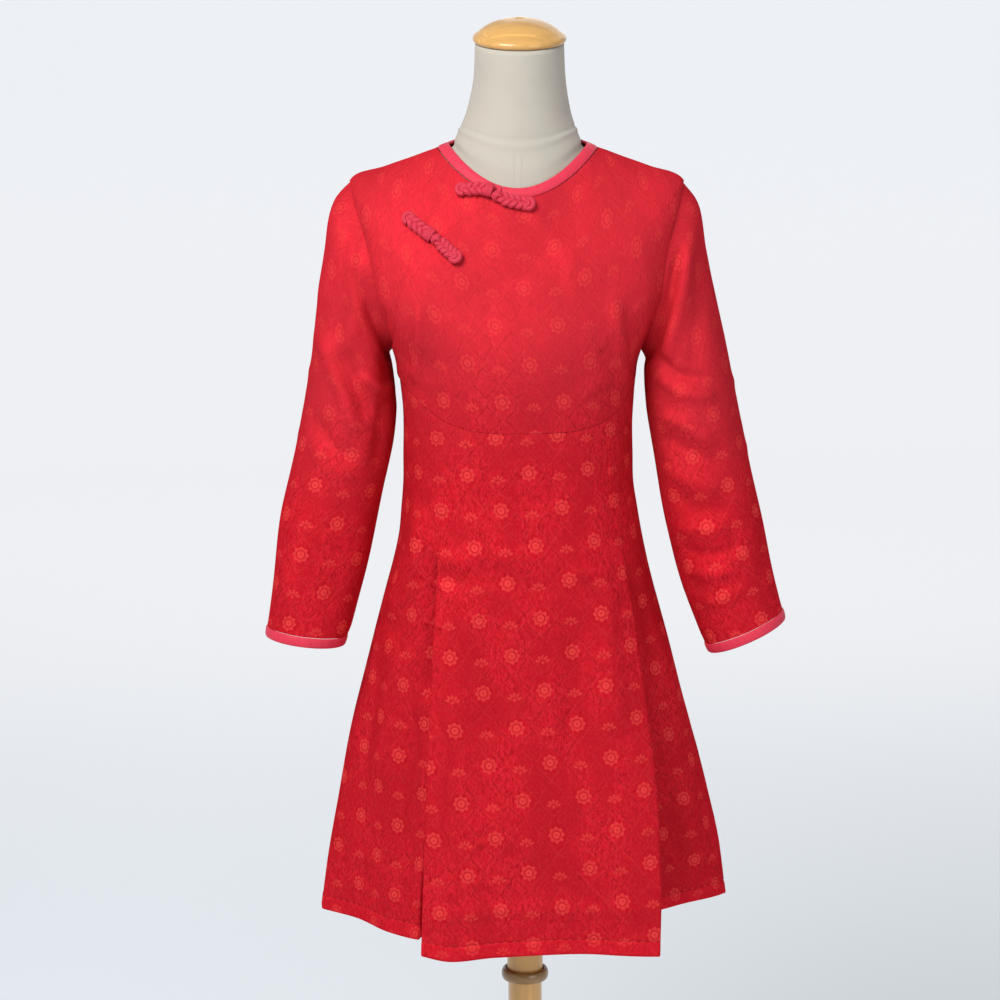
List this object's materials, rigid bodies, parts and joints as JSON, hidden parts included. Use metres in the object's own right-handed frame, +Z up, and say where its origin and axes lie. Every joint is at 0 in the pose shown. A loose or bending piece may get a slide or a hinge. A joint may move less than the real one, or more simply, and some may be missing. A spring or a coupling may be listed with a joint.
{
  "type": "cheongsam dress on a dress form",
  "caption": "Round-necked, long-sleeved A-line dress with a slanting lap, cord frogs and front pleats, hanging open at hem and cuffs on a limbless dress form with a pole and a round base.",
  "frame": {"origin": "on the floor, at the centre of the underside of the base, under the pole", "axes": "+Z up along the pole, -Y the way the front of the dress faces, +X the wearer's left"},
  "size_m": [0.5822, 0.3568, 1.497],
  "materials": {
    "jacquard_red": "satin jacquard with a crinkled ground",
    "binding_rose": "satin",
    "form_cream": "matte",
    "wood_honey": "varnished"
  },
  "bodies": {
    "root": {"bodice_front": "jacquard_red", "bodice_under_lap": "jacquard_red", "skirt_front_centre": "jacquard_red", "skirt_front_side_r": "jacquard_red", "skirt_front_side_l": "jacquard_red", "pleat_return_r": "jacquard_red", "pleat_return_l": "jacquard_red", "back": "jacquard_red", "sleeve_r": "jacquard_red", "sleeve_l": "jacquard_red", "neck_binding": "binding_rose", "cuff_binding_r": "binding_rose", "cuff_binding_l": "binding_rose", "frog_1_loop": "binding_rose", "frog_1_knot": "binding_rose", "frog_2_loop": "binding_rose", "frog_2_knot": "binding_rose", "form_body": "form_cream", "neck_cap": "wood_honey", "pole": "wood_honey", "pole_ring": "wood_honey", "base": "wood_honey"}
  },
  "joints": []
}
